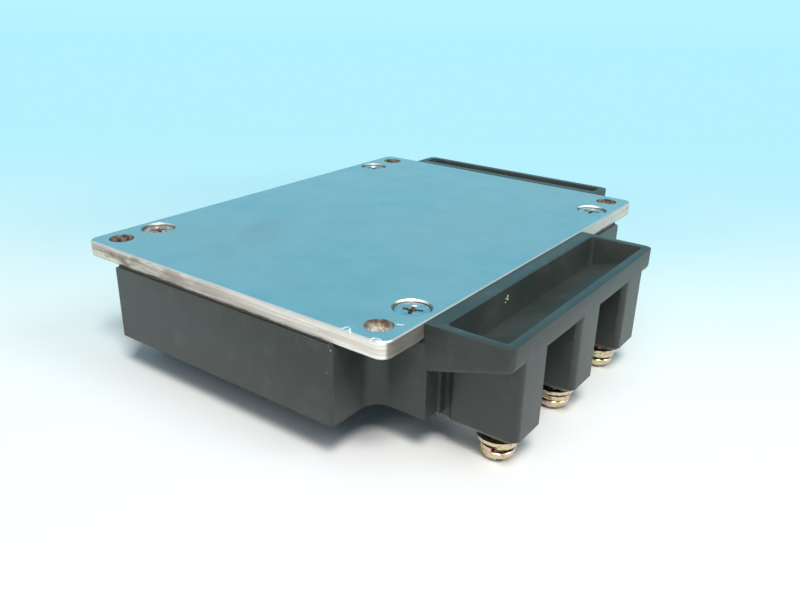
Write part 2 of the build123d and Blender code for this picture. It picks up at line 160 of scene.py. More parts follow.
def startMaterial(name, metallic=0.0):
    material = bpy.data.materials.new(name)
    material.use_nodes = True
    tree = material.node_tree
    shader = tree.nodes["Principled BSDF"]
    shader.inputs["Metallic"].default_value = metallic
    place = addNode(tree, "ShaderNodeTexCoord").outputs["Object"]
    return material, tree, shader, place


# Links a finish to its shader; the depth of the relief is in millimetres
def dressShader(tree, shader, colour, rough, relief, depth):
    bump = addNode(tree, "ShaderNodeBump", {"Height": relief, "Distance": depth * mm}).outputs[0]
    for socket, name in ((colour, "Base Color"), (rough, "Roughness"), (bump, "Normal")):
        tree.links.new(socket, shader.inputs[name])


# A finish with broad and fine changes of colour, uneven gloss and a fine surface
def plainFinish(name, look):
    material, tree, shader, place = startMaterial(name, look.get("metallic", 0.0))
    broad = grain(tree, place, look["broad"], 3.0, 0.55)
    fine = grain(tree, place, look["fine"], 2.0, 0.6, look.get("stretch", (1, 1, 1)))
    colour = blendColours(tree, band(tree, broad, 0.35, 0.65), look["dark"], look["base"])
    specks = band(tree, fine, 0.55, 0.75, 0.0, look["speck"])
    colour = blendColours(tree, specks, colour, look["light"])
    rough = band(tree, fine, *noiseSpan, *look["roughness"])
    dressShader(tree, shader, colour, rough, fine, look["depth"])
    return material


# Nickel plate: satin face with stains, rings and hair scratches, stamped sides, copper in the bolt holes
plateLook = {
    "nickel": (0.565, 0.605, 0.605),
    "stain": (0.36, 0.455, 0.48),
    # rim colour: wear and a painted highlight
    "edge": (0.56, 0.58, 0.56),
    "bare": (0.93, 0.93, 0.92),
    "side": (0.74, 0.69, 0.60),
    "sideLight": (0.95, 0.93, 0.85),
    "sideShade": (0.165, 0.155, 0.13),
    "sideFar": (0.36, 0.33, 0.285),
    "smear": (0.21, 0.15, 0.10),
    "copper": (0.13, 0.085, 0.06),
    "copperLight": (0.46, 0.37, 0.28),
    "boreLight": (0.93, 0.86, 0.74),
    "sinkHighlightCream": (0.90, 0.86, 0.75),
    "sinkGrey": (0.17, 0.19, 0.19),
    "sinkDarkening": (0.060, 0.050, 0.042),
    "roughness": (0.34, 0.38),
    "depth": 0.004,  # of the relief, mm
    "oxide": 0.62,  # share of the sides that is dull rather than metal
    # Sizes of the patterns, mm
    "cloud": 42, "mottle": 6, "film": 10, "fine": 0.9, "rolled": 1.1, "streak": 0.9, "smearSize": 2.2,
    "rolledStretch": (30, 1, 1), "streakStretch": (26, 26, 0.55), "smearStretch": (3.5, 3.5, 0.8),
    "strayScale": 90.0, "strayReach": 9,  # noise that bends the outlines of stains; reach in mm
    # Spans in mm, from where the first value holds to where the last one does
    "rim": (0.36, 0.08),  # inwards from the outline of the face: worn, and painted as a highlight
    "sideNearToFar": (-36, 26),  # along y: from the lighter near-end colours to the darker far-end ones
    "dirtySide": (-12, 36),  # along y: few to many smears
    "nearSide": (0.7, 0.2),  # inwards from the near side: shaded
    "shadeFade": (-15, 45),  # along x: that shade fades
    "sinkReach": (4.25, 4.15),  # around a countersink's axis
    "sinkDepth": (-0.02, -0.08), "sinkDarkDepth": (-0.26, -0.42),
    "sinkHighlightSpan": (5, -10),  # along y: weaker to stronger painted highlight on the countersinks
    "boreReach": (0.08, 0.03),  # outside the wall of a bolt hole
    "boreDepth": (-0.2, -2.2),
    "boreLighterSpan": (10, -30),  # along y: dark to light bolt holes
    "litSide": (-0.81, -0.58, 0.0),  # way that the side of each countersink with the painted cream highlight faces
    "patches": [  # centre x, y, half lengths, turn in degrees, strength
        (-27, 17, 23, 11, 25, 0.85), (-43, 15, 14, 9, 60, 0.6), (-12, 5, 17, 10, -20, 0.45),
        (54, 14, 3, 9, 0, 0.6), (12, -20, 16, 5, 40, 0.3), (-44, -6, 8, 12, 15, 0.3),
    ],
    "rings": [(-35.9, -1.6, 4.0, 0.30, 0.18), (8, 14, 5.5, 0.35, 0.12)],  # x, y, radius, width, strength
    "scratches": [
        (-28.0, -4.4, 2.9, 0.05, -43), (-24.5, -8.6, 2.0, 0.05, -47), (4, -9, 6.0, 0.05, 22),
        (-12, 25, 4.0, 0.05, -12), (30, 6, 7.0, 0.045, 64), (-46, -20, 3.5, 0.05, 35),
    ],
    "dots": [(-25.6, -14.5, 0.34), (-19.0, -12.0, 0.2), (22, 21, 0.25)],  # x, y, radius
    "nicks": [  # chips in the plating
        (-57.4, -33.33, 0.57, 0.22, -38), (-56.68, -33.56, 0.55, 0.22, -40),
        (-57.45, -34.94, 1.5, 0.20, -138), (-57.5, -34.55, 0.35, 0.2, -77),
        (-57.5, -39.88, 0.82, 0.22, 5), (-57.2, -40.18, 0.76, 0.22, -51),
        (-57.0, -41.2, 0.77, 0.22, -106), (-57.5, -41.0, 0.45, 0.2, -73),
        (-50.07, -40.01, 0.5, 0.26, -91), (-49.75, -40.61, 0.57, 0.22, -46),
    ],
}


def plateStains(tree, loose, cloud, mottle, look):
    stains = band(tree, cloud, 0.46, 0.70, 0.0, 0.42)
    for x, y, longHalf, shortHalf, turn, strength in look["patches"]:
        spot = patch(tree, loose, (x, y), (longHalf, shortHalf), math.radians(turn), 0.95)
        stains = calc(tree, "MAXIMUM", stains, calc(tree, "MULTIPLY", spot, strength))
    return calc(tree, "MULTIPLY", stains, band(tree, mottle, 0.2, 0.75, 0.55, 1.0))


def plateFace(tree, place, loose, stains, hair, look):
    film = band(tree, grain(tree, place, look["film"], 4.0, 0.6), 0.38, 0.62, 0.0, 0.26)
    top = blendColours(tree, calc(tree, "MAXIMUM", stains, film), look["nickel"], look["stain"])
    for x, y, radius, width, strength in look["rings"]:
        outer = patch(tree, loose, (x, y), (radius + width, radius + width), 0, 0.12)
        inner = patch(tree, loose, (x, y), (radius, radius), 0, 0.12)
        ring = calc(tree, "MULTIPLY", calc(tree, "SUBTRACT", outer, inner, clamp=True), strength)
        top = blendColours(tree, ring, top, look["stain"], "MULTIPLY")
    top = blendColours(tree, calc(tree, "MULTIPLY", hair, 0.5), top, look["stain"], "MULTIPLY")
    for x, y, radius in look["dots"]:
        dot = patch(tree, place, (x, y), (radius, radius))
        top = blendColours(tree, calc(tree, "MULTIPLY", dot, 0.6), top, look["smear"])
    return top


# Rim of the face, worn and painted as a highlight in places
def rimWearAndHighlightMask(tree, x, y, mottle, look):
    rimX = calc(tree, "SUBTRACT", plateHigh.x, calc(tree, "ABSOLUTE", x))
    rimY = calc(tree, "SUBTRACT", plateHigh.y, calc(tree, "ABSOLUTE", y))
    rim = slide(tree, calc(tree, "MINIMUM", rimX, rimY), look["rim"])
    return calc(tree, "MULTIPLY", rim, band(tree, mottle, 0.40, 0.65, 0.05, 0.8))


# Stamped sides: the near one shaded, all of them darker and browner away from the near corner
def plateSides(tree, place, x, y, streaks, look):
    nearEndSide = blendColours(tree, band(tree, streaks, 0.35, 0.65), look["side"], look["sideLight"])
    farEndSide = blendColours(tree, band(tree, streaks, 0.38, 0.62), look["sideFar"], look["side"])
    side = blendColours(tree, slide(tree, y, look["sideNearToFar"], 0.0, 0.75), nearEndSide, farEndSide)
    smears = grain(tree, place, look["smearSize"], 3.0, 0.6, look["smearStretch"])
    dirt = calc(tree, "MULTIPLY", band(tree, smears, 0.40, 0.62),
                slide(tree, y, look["dirtySide"], 0.10, 0.9))
    side = blendColours(tree, dirt, side, look["smear"])
    nearSide = slide(tree, calc(tree, "ADD", y, plateHigh.y), look["nearSide"])
    shade = calc(tree, "MULTIPLY", nearSide, band(tree, smears, 0.35, 0.65, 0.88, 1.0),
                 slide(tree, x, look["shadeFade"], 1.0, 0.35))
    return blendColours(tree, shade, side, look["sideShade"])


# Countersinks: a painted cream highlight on the side of each cone that faces litSide, darker where the head
# meets it
def plateSinks(tree, x, y, z, normal, colour, look):
    fromSink = fromCorners(tree, x, y, caseScrewX, caseScrewY)
    cone = calc(tree, "MULTIPLY", slide(tree, fromSink, look["sinkReach"]),
                slide(tree, z, look["sinkDepth"]))
    facing = addNode(tree, "ShaderNodeVectorMath", {0: normal, 1: look["litSide"]}, operation="DOT_PRODUCT")
    # painted highlight: the cone wall that faces litSide turns cream, more so towards negative y
    sinkHighlight = calc(tree, "MULTIPLY", band(tree, facing.outputs["Value"], 0.30, 0.62),
                  slide(tree, y, look["sinkHighlightSpan"], 0.45, 1.0))
    sink = blendColours(tree, sinkHighlight, look["sinkGrey"], look["sinkHighlightCream"])
    colour = blendColours(tree, cone, colour, sink)
    # darker band on the cone just above the head
    darkening = calc(tree, "MULTIPLY", cone, slide(tree, z, look["sinkDarkDepth"]))
    return cone, blendColours(tree, darkening, colour, look["sinkDarkening"])


# Walls of the four bolt holes: dark copper, lighter and speckled further down
def plateBores(tree, place, x, y, z, colour, look):
    holes = mounts["heatsink_bolts"]["dims"]
    fromHole = fromCorners(tree, x, y, holes["spacing_x_mm"] * mm / 2, holes["spacing_y_mm"] * mm / 2)
    bore = slide(tree, fromHole, [holes["hole_r_mm"] + reach for reach in look["boreReach"]])
    rust = band(tree, grain(tree, place, 1.3, 3.0, 0.6), 0.38, 0.62)
    wall = blendColours(tree, rust, look["copper"], look["copperLight"])
    speckle = band(tree, grain(tree, place, 0.5, 2.0, 0.7), 0.40, 0.60, 0.25, 1.0)
    # lighter lower down each hole and towards negative y
    lower = calc(tree, "MULTIPLY", slide(tree, z, look["boreDepth"]), speckle,
                 slide(tree, y, look["boreLighterSpan"], 0.0, 0.95))
    wall = blendColours(tree, lower, wall, look["boreLight"])
    return blendColours(tree, bore, colour, wall)


def plateMetal(look):
    material, tree, shader, place = startMaterial("plateNickel", 1.0)
    x, y, z = split(tree, place)
    normal = addNode(tree, "ShaderNodeNewGeometry").outputs["Normal"]
    facing = calc(tree, "ABSOLUTE", split(tree, normal)[2])
    upright = band(tree, facing, 0.8, 0.45)
    inputs = {"Vector": place, "Scale": look["strayScale"], "Detail": 3.0}
    wander = addNode(tree, "ShaderNodeTexNoise", inputs).outputs["Color"]
    shift = sway(tree, wander, look["strayReach"] * mm)
    loose = addNode(tree, "ShaderNodeVectorMath", {0: place, 1: shift}, operation="ADD").outputs[0]
    cloud = grain(tree, place, look["cloud"], 4.0, 0.55)
    mottle = grain(tree, place, look["mottle"], 3.0, 0.6)
    fine = grain(tree, place, look["fine"], 2.0, 0.5)
    rolled = grain(tree, place, look["rolled"], 1.0, 0.5, look["rolledStretch"])
    streaks = grain(tree, place, look["streak"], 3.0, 0.6, look["streakStretch"])

    stains = plateStains(tree, loose, cloud, mottle, look)
    hair = strokes(tree, place, look["scratches"], 0.9)
    rimWearAndHighlight = rimWearAndHighlightMask(tree, x, y, mottle, look)
    chips = strokes(tree, place, look["nicks"], 0.4)
    # rim: worn metal and a painted highlight along the face's outline
    top = blendColours(tree, rimWearAndHighlight, plateFace(tree, place, loose, stains, hair, look), look["edge"])
    top = blendColours(tree, chips, top, look["bare"])
    colour = blendColours(tree, upright, top, plateSides(tree, place, x, y, streaks, look))
    cone, colour = plateSinks(tree, x, y, z, normal, colour, look)
    colour = plateBores(tree, place, x, y, z, colour, look)

    oxide = calc(tree, "MULTIPLY", band(tree, facing, 0.75, 0.4), look["oxide"])
    oxide = calc(tree, "MAXIMUM", oxide, chips, calc(tree, "MULTIPLY", rimWearAndHighlight, 0.2),
                 calc(tree, "MULTIPLY", cone, 0.5))
    tree.links.new(calc(tree, "SUBTRACT", 1.0, oxide, clamp=True), shader.inputs["Metallic"])
    rough = calc(tree, "ADD", band(tree, cloud, *noiseSpan, *look["roughness"]),
                 calc(tree, "MULTIPLY", stains, 0.08), calc(tree, "MULTIPLY", upright, 0.16),
                 band(tree, fine, *noiseSpan, -0.02, 0.03))
    relief = calc(tree, "ADD", calc(tree, "MULTIPLY", rolled, 0.25), upright,
                  calc(tree, "MULTIPLY", upright, streaks))
    relief = calc(tree, "SUBTRACT", relief, calc(tree, "MULTIPLY", hair, 0.8))
    dressShader(tree, shader, colour, rough, relief, look["depth"])
    return material


# Moulded case: matt dark grey with a fine spark texture, dust and handling marks
caseLook = {
    "base": (0.036, 0.044, 0.039),
    "dark": (0.023, 0.030, 0.026),
    "scuff": (0.074, 0.084, 0.074),
    "dust": (0.20, 0.21, 0.19),
    # colour of the rounded edges: wear and a painted highlight
    "edge": (0.054, 0.068, 0.067),
    "roughness": (0.38, 0.47),
    "flow": 22, "rub": 8, "mottle": 3.2, "fleck": 0.8, "spark": 0.42,  # sizes of the patterns, mm
    "depth": 0.010,
    "edgeWidth": 0.22,  # of the mould radii, mm
    "edgeSteps": 2,
    "edgeAngle": 34,  # degrees; flatter edges aren't rounded
    "smoothAngle": 40,
    "weld": 0.0005,
}


def caseMaterial(name, look, base):
    material, tree, shader, place = startMaterial(name)
    flow = grain(tree, place, look["flow"], 3.0, 0.5, (1, 1, 1.6))
    mottle = grain(tree, place, look["mottle"], 3.0, 0.6)
    spark = grain(tree, place, look["spark"], 2.5, 0.65)
    colour = blendColours(tree, band(tree, flow, 0.35, 0.68), look["dark"], base)
    rubs = band(tree, grain(tree, place, look["rub"], 4.0, 0.65), 0.46, 0.70, 0.0, 0.50)
    rubs = calc(tree, "MULTIPLY", rubs, band(tree, mottle, 0.35, 0.7))
    colour = blendColours(tree, rubs, colour, look["scuff"])
    flecks = band(tree, grain(tree, place, look["fleck"], 1.0, 0.5), 0.775, 0.81)
    colour = blendColours(tree, calc(tree, "MULTIPLY", flecks, 0.4), colour, look["dust"])
    colour = blendColours(tree, band(tree, spark, 0.35, 0.75, 0.0, 0.12), colour, look["scuff"])
    rough = calc(tree, "ADD", band(tree, flow, *noiseSpan, *look["roughness"]),
                 band(tree, spark, *noiseSpan, -0.03, 0.04))
    relief = calc(tree, "ADD", spark, calc(tree, "MULTIPLY", mottle, 1.2))
    dressShader(tree, shader, colour, rough, relief, look["depth"])
    return material


# Yellow passivated zinc, whose thin film turns from gold to pink and green
goldLook = {
    "gold": (0.72, 0.61, 0.37), "pink": (0.74, 0.53, 0.47), "green": (0.45, 0.60, 0.38),
    "dark": (0.11, 0.07, 0.045), "roughness": (0.15, 0.30), "depth": 0.006,
    "pinkSize": 2.6, "greenSize": 1.7, "grimeSize": 0.9, "fine": 0.25,  # mm
}


def yellowZinc(look):
    material, tree, shader, place = startMaterial("yellowZinc", 1.0)
    pink = grain(tree, place, look["pinkSize"], 2.0, 0.5)
    green = grain(tree, place, look["greenSize"], 2.0, 0.5, (1, 1, 0.6), 0.7)
    fine = grain(tree, place, look["fine"], 2.0, 0.6)
    colour = blendColours(tree, band(tree, pink, 0.42, 0.62), look["gold"], look["pink"])
    colour = blendColours(tree, band(tree, green, 0.54, 0.66, 0.0, 0.8), colour, look["green"])
    darkening = band(tree, grain(tree, place, look["grimeSize"], 3.0, 0.65), 0.52, 0.68)
    colour = blendColours(tree, calc(tree, "MULTIPLY", darkening, 0.75), colour, look["dark"])
    rough = band(tree, fine, *noiseSpan, *look["roughness"])
    dressShader(tree, shader, colour, rough, fine, look["depth"])
    return material


# Zinc-plated steel of the countersunk screws: darker and duller deeper in the recess, one head dull all over
steelLook = {
    "zinc": (0.56, 0.60, 0.62), "grey": (0.46, 0.49, 0.50), "darkening": (0.055, 0.036, 0.026),
    "dull": (0.50, 0.43, 0.36), "dullDark": (0.17, 0.14, 0.12), "roughness": (0.24, 0.40), "depth": 0.006,
    "greySize": 1.6, "dullSize": 0.7, "fine": 0.30,  # mm
    "recess": (0.10, 0.35),  # depth below the head's face over which the darkening begins, mm
    "dullHead": (-42.3, 37.4, 6.0),  # centre x, y and radius, mm
}


def zincSteel(look):
    material, tree, shader, place = startMaterial("zincSteel", 1.0)
    height = split(tree, place)[2]
    fine = grain(tree, place, look["fine"], 2.0, 0.6)
    grey = band(tree, grain(tree, place, look["greySize"], 3.0), 0.38, 0.60)
    colour = blendColours(tree, grey, look["grey"], look["zinc"])
    x, y, radius = look["dullHead"]
    dull = patch(tree, place, (x, y), (radius, radius), 0, 0.2)
    blotch = band(tree, grain(tree, place, look["dullSize"], 2.0, 0.7), 0.42, 0.58)
    blotch = blendColours(tree, blotch, look["dullDark"], look["dull"])
    colour = blendColours(tree, calc(tree, "MULTIPLY", dull, 0.85), colour, blotch)
    # darker, duller and rougher deeper in the cross recess
    deep = slide(tree, height, [-(caseScrewSink + depth) for depth in look["recess"]])
    colour = blendColours(tree, deep, colour, look["darkening"])
    flat = calc(tree, "MAXIMUM", calc(tree, "MULTIPLY", deep, 0.9), calc(tree, "MULTIPLY", dull, 0.6))
    tree.links.new(calc(tree, "SUBTRACT", 1.0, flat, clamp=True), shader.inputs["Metallic"])
    rough = calc(tree, "ADD", band(tree, fine, *noiseSpan, *look["roughness"]),
                 calc(tree, "MULTIPLY", flat, 0.25))
    dressShader(tree, shader, colour, rough, fine, look["depth"])
    return material


# Glass-cloth board: two crossing sets of threads under green lacquer
boardLook = {
    "base": (0.035, 0.14, 0.065), "dark": (0.022, 0.095, 0.045), "thread": (0.10, 0.24, 0.12),
    "roughness": (0.32, 0.46), "depth": 0.012, "cloud": 12, "threadScale": 185.185,
}


def boardLaminate(look):
    material, tree, shader, place = startMaterial("boardLaminate")
    inputs = {"Vector": place, "Scale": look["threadScale"], "Distortion": 0.4}
    warp, weft = (addNode(tree, "ShaderNodeTexWave", inputs, bands_direction=way) for way in ("X", "Y"))
    cloth = calc(tree, "MULTIPLY", warp.outputs["Fac"], weft.outputs["Fac"])
    broad = grain(tree, place, look["cloud"], 3.0)
    colour = blendColours(tree, band(tree, broad, 0.35, 0.65), look["dark"], look["base"])
    colour = blendColours(tree, band(tree, cloth, 0.3, 0.9, 0.0, 0.35), colour, look["thread"])
    rough = band(tree, broad, *noiseSpan, *look["roughness"])
    dressShader(tree, shader, colour, rough, cloth, look["depth"])
    return material


# Finishes that plainFinish makes; broad, fine and depth are in millimetres
plainLooks = {
    "adhesive": {
        "base": (0.030, 0.027, 0.023), "dark": (0.015, 0.013, 0.012), "light": (0.085, 0.070, 0.050),
        "roughness": (0.36, 0.60), "broad": 3.4, "fine": 0.6, "speck": 0.40, "depth": 0.03,
    },
    "crumb": {
        "base": (0.55, 0.54, 0.42), "dark": (0.34, 0.33, 0.24), "light": (0.75, 0.75, 0.66),
        "roughness": (0.35, 0.6), "broad": 0.6, "fine": 0.15, "speck": 0.5, "depth": 0.02,
    },
    "tinnedCopper": {
        "base": (0.20, 0.20, 0.19), "dark": (0.13, 0.13, 0.12), "light": (0.34, 0.34, 0.32),
        "metallic": 0.7, "roughness": (0.38, 0.52), "broad": 5.0, "fine": 0.4, "speck": 0.4, "depth": 0.004,
    },
    "solder": {
        "base": (0.60, 0.60, 0.61), "dark": (0.45, 0.45, 0.47), "light": (0.72, 0.72, 0.73),
        "metallic": 1.0, "roughness": (0.32, 0.50), "broad": 3.0, "fine": 0.5, "speck": 0.5, "depth": 0.01,
    },
    "bareCopper": {
        "base": (0.78, 0.42, 0.26), "dark": (0.55, 0.26, 0.15), "light": (0.88, 0.55, 0.38),
        "metallic": 1.0, "roughness": (0.25, 0.42), "broad": 6.0, "fine": 0.3, "speck": 0.4, "depth": 0.003,
    },
    "alumina": {
        "base": (0.84, 0.84, 0.81), "dark": (0.76, 0.76, 0.72), "light": (0.92, 0.92, 0.90),
        "roughness": (0.45, 0.62), "broad": 8.0, "fine": 0.25, "speck": 0.3, "depth": 0.004,
    },
    "silicon": {
        "base": (0.20, 0.21, 0.25), "dark": (0.13, 0.14, 0.17), "light": (0.30, 0.31, 0.36),
        "metallic": 0.6, "roughness": (0.12, 0.22), "broad": 3.0, "fine": 0.2, "speck": 0.3, "depth": 0.001,
    },
    "ribbonMetal": {
        "base": (0.80, 0.80, 0.81), "dark": (0.66, 0.66, 0.68), "light": (0.90, 0.90, 0.91),
        "metallic": 1.0, "roughness": (0.24, 0.40), "broad": 1.5, "fine": 0.25, "speck": 0.4, "depth": 0.003,
        "stretch": (1, 6, 1),
    },
    "chipPlastic": {
        "base": (0.030, 0.030, 0.033), "dark": (0.020, 0.020, 0.022), "light": (0.07, 0.07, 0.07),
        "roughness": (0.45, 0.60), "broad": 4.0, "fine": 0.2, "speck": 0.3, "depth": 0.004,
    },
    "passiveCeramic": {
        "base": (0.50, 0.40, 0.29), "dark": (0.40, 0.31, 0.22), "light": (0.60, 0.50, 0.38),
        "roughness": (0.35, 0.50), "broad": 2.0, "fine": 0.2, "speck": 0.3, "depth": 0.003,
    },
    "headerPlastic": {
        "base": (0.036, 0.036, 0.038), "dark": (0.024, 0.024, 0.026), "light": (0.10, 0.10, 0.10),
        "roughness": (0.40, 0.55), "broad": 5.0, "fine": 0.3, "speck": 0.3, "depth": 0.006,
    },
    "pinMetal": {
        "base": (0.74, 0.72, 0.68), "dark": (0.58, 0.55, 0.50), "light": (0.88, 0.87, 0.85),
        "metallic": 1.0, "roughness": (0.18, 0.32), "broad": 1.5, "fine": 0.2, "speck": 0.4, "depth": 0.002,
        "stretch": (1, 1, 8),
    },
}

materials = {name: plainFinish(name, look) for name, look in plainLooks.items()}
materials["plateNickel"] = plateMetal(plateLook)
materials["casePlastic"] = caseMaterial("casePlastic", caseLook, caseLook["base"])
# lighter copy of the plastic for the rounded edges: wear and a painted highlight
materials["caseEdgeWearAndHighlight"] = caseMaterial("caseEdgeWearAndHighlight", caseLook, caseLook["edge"])
materials["yellowZinc"] = yellowZinc(goldLook)
materials["zincSteel"] = zincSteel(steelLook)
materials["boardLaminate"] = boardLaminate(boardLook)
print("materials made:", len(materials))

nodeFinishes = {
    "plateNickel": ["base_plate"],
    "casePlastic": ["case_frame", "case_lid"],
    "adhesive": ["seal_bead"],
    "zincSteel": ["case_screws"],
    "yellowZinc": ["terminal_nuts", "terminal_screws", "spring_washers", "flat_washers"],
    "tinnedCopper": ["output_terminals", "positive_terminal", "negative_terminal"],
    "solder": ["substrate_solder"],
    "bareCopper": ["substrate_backs", "substrate_tracks"],
    "alumina": ["substrate_ceramics"],
    "silicon": ["igbt_chips", "diode_chips"],
    "ribbonMetal": ["bond_ribbons"],
    "boardLaminate": ["gate_board"],
    "chipPlastic": ["driver_chips", "gate_resistors"],
    "passiveCeramic": ["buffer_capacitors"],
    "pinMetal": ["link_pins", "control_pins"],
    "headerPlastic": ["pin_headers"],
}
for finish, names in nodeFinishes.items():
    for node in (nodes[name] for name in names):
        if not node.material_slots:
            node.data.materials.append(materials[finish])
        for slot in node.material_slots:
            slot.material = materials[finish]
print("CAD nodes finished:", sum(len(names) for names in nodeFinishes.values()))


# Helpers for meshes

def showMesh(name, mesh):
    made = bpy.data.objects.new(name, mesh)
    scene.collection.objects.link(made)
    return made


def finishPiece(piece, slot, *replaced):
    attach(piece, "root")
    if replaced:
        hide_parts(*replaced)


# Mesh that a function draws into an empty shape
def meshOf(name, draw):
    shape = bmesh.new()
    draw(shape)
    bmesh.ops.recalc_face_normals(shape, faces=shape.faces)
    mesh = bpy.data.meshes.new(name)
    shape.to_mesh(mesh)
    shape.free()
    return mesh


# Evaluated mesh of an object, as a plain mesh without modifiers; the object is removed
def settle(maker, name):
    graph = bpy.context.evaluated_depsgraph_get()
    mesh = bpy.data.meshes.new_from_object(maker.evaluated_get(graph))
    mesh.name = name
    bpy.data.objects.remove(maker)
    return mesh


# Merged copy of a CAD node whose loose triangles are joined into whole faces
def joinedCopy(nodeName, weld):
    def join(shape):
        shape.from_mesh(nodes[nodeName].data)
        bmesh.ops.remove_doubles(shape, verts=shape.verts, dist=weld * mm)
        bmesh.ops.dissolve_limit(shape, angle_limit=math.radians(1.0), verts=shape.verts, edges=shape.edges)

    mesh = meshOf(nodeName + "Joined", join)
    for label in ("custom_normal", "sharp_face", "sharp_edge"):
        if label in mesh.attributes:
            mesh.attributes.remove(mesh.attributes[label])
    return mesh


# The same copy with its hard edges rounded
def softenedPiece(name, nodeName, finish, edgeFinish, look):
    maker = showMesh(name + "Maker", joinedCopy(nodeName, look["weld"]))
    maker.data.materials.clear()
    maker.data.materials.append(materials[finish])
    # second material for the bevel faces; on the case it is the lighter plastic, a painted highlight as well
    # as wear
    maker.data.materials.append(materials[edgeFinish])
    for face in maker.data.polygons:
        face.material_index = 0
    bevel = maker.modifiers.new("roundEdges", "BEVEL")
    bevel.width = look["edgeWidth"] * mm
    bevel.segments = look["edgeSteps"]
    bevel.limit_method = "ANGLE"
    bevel.angle_limit = math.radians(look["edgeAngle"])
    bevel.use_clamp_overlap = True
    bevel.miter_outer = "MITER_ARC"
    bevel.material = 1
    mesh = settle(maker, name)
    mesh.shade_smooth()
    mesh.set_sharp_from_angle(angle=math.radians(look["smoothAngle"]))
    return showMesh(name, mesh)


casePiece = softenedPiece("moulded_case", "case_frame", "casePlastic", "caseEdgeWearAndHighlight", caseLook)
finishPiece(casePiece, "case_plastic", "case_frame")
print("case rounded:", len(casePiece.data.polygons), "faces")

# Washers with broken edges
washerLook = {"edgeWidth": 0.14, "edgeSteps": 2, "edgeAngle": 50, "smoothAngle": 40, "weld": 0.0005}
for name, nodeName in (("plain_washers", "flat_washers"), ("split_washers", "spring_washers")):
    piece = softenedPiece(name, nodeName, "yellowZinc", "yellowZinc", washerLook)
    finishPiece(piece, "yellow_zinc", nodeName)
print("washers rounded")


# Geometry Nodes: starts a tree with named inputs and gives their identifiers
def startTree(name, inputs):
    tree = bpy.data.node_groups.new(name, "GeometryNodeTree")
    tree.interface.new_socket("Geometry", in_out="INPUT", socket_type="NodeSocketGeometry")
    identifiers = {}
    for label, kind in inputs.items():
        socket = tree.interface.new_socket(label, in_out="INPUT", socket_type="NodeSocket" + kind)
        identifiers[label] = socket.identifier
    tree.interface.new_socket("Geometry", in_out="OUTPUT", socket_type="NodeSocketGeometry")
    return tree, tree.nodes.new("NodeGroupInput"), identifiers


def endTree(tree, geometry, material):
    real = addNode(tree, "GeometryNodeRealizeInstances", {0: geometry})
    painted = addNode(tree, "GeometryNodeSetMaterial", {0: real.outputs[0], "Material": material})
    output = tree.nodes.new("NodeGroupOutput")
    tree.links.new(painted.outputs[0], output.inputs[0])


def growMesh(name, mesh, tree, identifiers, values):
    maker = bpy.data.objects.new(name + "Maker", mesh)
    modifier = maker.modifiers.new("grow", "NODES")
    modifier.node_group = tree
    for label, value in values.items():
        modifier[identifiers[label]] = value
    scene.collection.objects.link(maker)
    return settle(maker, name)


# Screws: one pattern set on every axis of its kind, each with its own turn
def rowTree():
    tree, start, identifiers = startTree("screwRow", {"Pattern": "Object", "Material": "Material"})
    pattern = addNode(tree, "GeometryNodeObjectInfo", {"Object": start.outputs["Pattern"]})
    turn = addNode(tree, "GeometryNodeInputNamedAttribute", {"Name": "turn"}, data_type="FLOAT")
    angles = addNode(tree, "ShaderNodeCombineXYZ", {"Z": turn.outputs["Attribute"]})
    rotation = addNode(tree, "FunctionNodeEulerToRotation", {0: angles.outputs[0]})
    row = addNode(tree, "GeometryNodeInstanceOnPoints", {
        "Points": start.outputs["Geometry"], "Instance": pattern.outputs["Geometry"],
        "Rotation": rotation.outputs[0],
    })
    endTree(tree, row.outputs[0], start.outputs["Material"])
    return tree, identifiers


screwRow, screwRowInputs = rowTree()


def setRow(name, pattern, points, look, finish):
    mesh = bpy.data.meshes.new(name + "Points")
    mesh.from_pydata([tuple(p) for p in points], [], [])
    turn = mesh.attributes.new("turn", "FLOAT", "POINT")
    turn.data.foreach_set("value", [math.radians(t) for t in look["turns"]])
    values = {"Pattern": pattern, "Material": materials[finish]}
    grown = growMesh(name, mesh, screwRow, screwRowInputs, values)
    bpy.data.objects.remove(pattern)
    grown.shade_smooth()
    grown.set_sharp_from_angle(angle=math.radians(look["smoothAngle"]))
    return showMesh(name, grown)


# Closed body turned about Z from (radius, height) points in millimetres
def turnedBody(shape, outline, steps):
    rings = []
    for radius, height in outline:
        count = steps if radius > 0 else 1
        rings.append([shape.verts.new((radius * mm * math.cos(2 * math.pi * k / steps),
                                       radius * mm * math.sin(2 * math.pi * k / steps), height * mm))
                      for k in range(count)])
    for lower, upper in zip(rings, rings[1:]):
        for k in range(steps):
            corners = [lower[k % len(lower)], lower[(k + 1) % len(lower)],
                       upper[(k + 1) % len(upper)], upper[k % len(upper)]]
            unique = list(dict.fromkeys(corners))
            if len(unique) > 2:
                shape.faces.new(unique)


